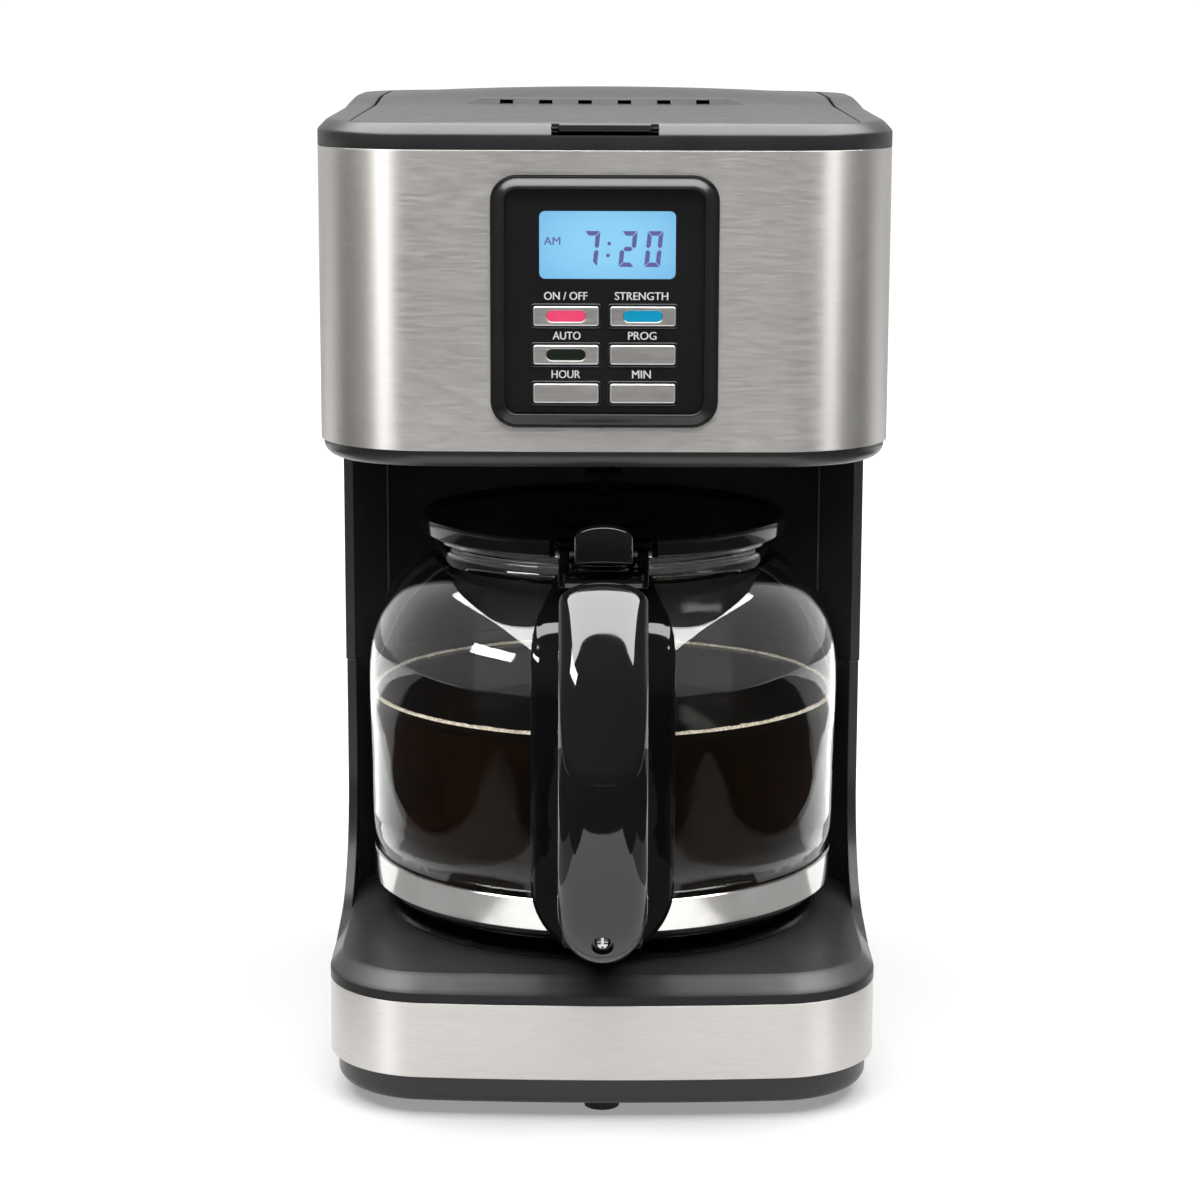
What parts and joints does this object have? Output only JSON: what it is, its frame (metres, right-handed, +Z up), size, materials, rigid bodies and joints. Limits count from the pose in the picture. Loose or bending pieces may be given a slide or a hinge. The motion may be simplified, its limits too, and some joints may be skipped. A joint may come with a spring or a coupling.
{
  "type": "drip coffee maker",
  "caption": "Upright drip coffee maker with a steel-wrapped head, backlit clock panel with push buttons, hinged lid, hot plate and a glass carafe with a looped handle.",
  "frame": {"origin": "on the floor under the middle of the whole object's box, carafe handle included", "axes": "+X to the right seen from the front, +Y towards the back, +Z up"},
  "size_m": [0.1902, 0.273, 0.3421],
  "materials": {
    "steel_wrap": "fine horizontal brushing, satin",
    "bright_steel": "bright polished band",
    "black_satin": "fine satin moulding texture",
    "black_gloss": "polished moulding",
    "panel_black": "smooth black facia",
    "bezel_black": "satin frame",
    "button_silver": "satin silver paint",
    "led_red": "lit translucent lens",
    "led_blue": "lit translucent lens",
    "led_dark": "unlit smoked lens",
    "lcd_glass": "clear flat window",
    "lcd_backlight": "backlit display",
    "carafe_clear": "clear blown glass",
    "plate_enamel": "dark non-stick coating",
    "black_rubber": "matte rubber",
    "grey_plastic": "dark moulded plastic",
    "tank_plastic": "smoked moulded plastic",
    "silicone": "translucent silicone",
    "aluminium": "extruded, bare",
    "zinc_steel": "zinc plated",
    "board_green": "solder mask",
    "component_dark": "moulded components"
  },
  "bodies": {
    "machine": {"head_wrap": "steel_wrap", "base_band": "steel_wrap", "lower_housing": "black_satin", "upper_housing": "black_satin", "top_collar": "black_satin", "base_pan": "black_satin", "panel_plate": "panel_black", "panel_bezel": "bezel_black", "lcd_window": "lcd_glass", "lcd_module": "lcd_backlight", "hot_plate": "plate_enamel", "rubber_feet": "black_rubber", "hot_plate_seal": "black_rubber", "cord_gland": "black_rubber", "inner_deck": "grey_plastic", "brew_basket": "grey_plastic", "check_valve_body": "grey_plastic", "water_tank": "tank_plastic", "cold_water_hose": "silicone", "riser_hose": "silicone", "heater_tube": "aluminium", "heat_spreader": "aluminium", "base_screws": "zinc_steel", "board_screws": "zinc_steel", "clamp_screw": "zinc_steel", "heater_clamp": "zinc_steel", "lid_hinge_pins": "zinc_steel", "drip_stop_spring": "zinc_steel", "heating_element": "zinc_steel", "control_board": "board_green", "power_board": "board_green", "tact_switches": "component_dark", "power_components": "component_dark", "thermostat": "component_dark", "thermal_fuse": "component_dark"},
    "lid": {"lid": "black_satin", "spray_head": "grey_plastic"},
    "carafe": {"carafe_glass": "carafe_clear", "carafe_band": "bright_steel", "handle_body": "black_gloss", "handle_cover": "black_gloss", "handle_screw": "zinc_steel", "carafe_lid_pin": "zinc_steel"},
    "carafe_lid": {"carafe_lid": "black_gloss", "lid_thumb_lever": "black_gloss"},
    "drip_stop": {"drip_stop_plunger": "grey_plastic", "drip_stop_seal": "silicone"},
    "valve_ball": {"check_valve_ball": "zinc_steel"},
    "button_on_off": {"button_on_off": "button_silver", "led_on_off": "led_red"},
    "button_strength": {"button_strength": "button_silver", "led_strength": "led_blue"},
    "button_auto": {"button_auto": "button_silver", "led_auto": "led_dark"},
    "button_program": {"button_program": "button_silver"},
    "button_hour": {"button_hour": "button_silver"},
    "button_minute": {"button_minute": "button_silver"}
  },
  "joints": [
    {"name": "lid_hinge", "type": "hinge", "parent": "machine", "child": "lid", "pos_m": [0, 0.1145, 0.3361], "axis": [-1, 0, 0], "range_deg": [0, 95]},
    {"name": "carafe_pull", "type": "slide", "parent": "machine", "child": "carafe", "axis": [0, -1, 0], "range_m": [0, 0.26]},
    {"name": "carafe_lid_hinge", "type": "hinge", "parent": "carafe", "child": "carafe_lid", "pos_m": [0, -0.0603, 0.1885], "axis": [1, 0, 0], "range_deg": [0, 6.5]},
    {"name": "drip_stop_slide", "type": "slide", "parent": "machine", "child": "drip_stop", "axis": [0, 0, 1], "range_m": [0, 0.0087], "deforming": ["drip_stop_spring"]},
    {"name": "check_valve_lift", "type": "slide", "parent": "machine", "child": "valve_ball", "axis": [0, 0, 1], "range_m": [0, 0.0025]},
    {"name": "press_on_off", "type": "slide", "parent": "machine", "child": "button_on_off", "axis": [0, 1, 0], "range_m": [0, 0.001], "stiffness_N_per_m": 400},
    {"name": "press_strength", "type": "slide", "parent": "machine", "child": "button_strength", "axis": [0, 1, 0], "range_m": [0, 0.001], "stiffness_N_per_m": 400},
    {"name": "press_auto", "type": "slide", "parent": "machine", "child": "button_auto", "axis": [0, 1, 0], "range_m": [0, 0.001], "stiffness_N_per_m": 400},
    {"name": "press_program", "type": "slide", "parent": "machine", "child": "button_program", "axis": [0, 1, 0], "range_m": [0, 0.001], "stiffness_N_per_m": 400},
    {"name": "press_hour", "type": "slide", "parent": "machine", "child": "button_hour", "axis": [0, 1, 0], "range_m": [0, 0.001], "stiffness_N_per_m": 400},
    {"name": "press_minute", "type": "slide", "parent": "machine", "child": "button_minute", "axis": [0, 1, 0], "range_m": [0, 0.001], "stiffness_N_per_m": 400}
  ],
  "couplings": [
    {"joint": "drip_stop_slide", "follows": "carafe_lid_hinge", "m_per_rad": 0.0745}
  ]
}
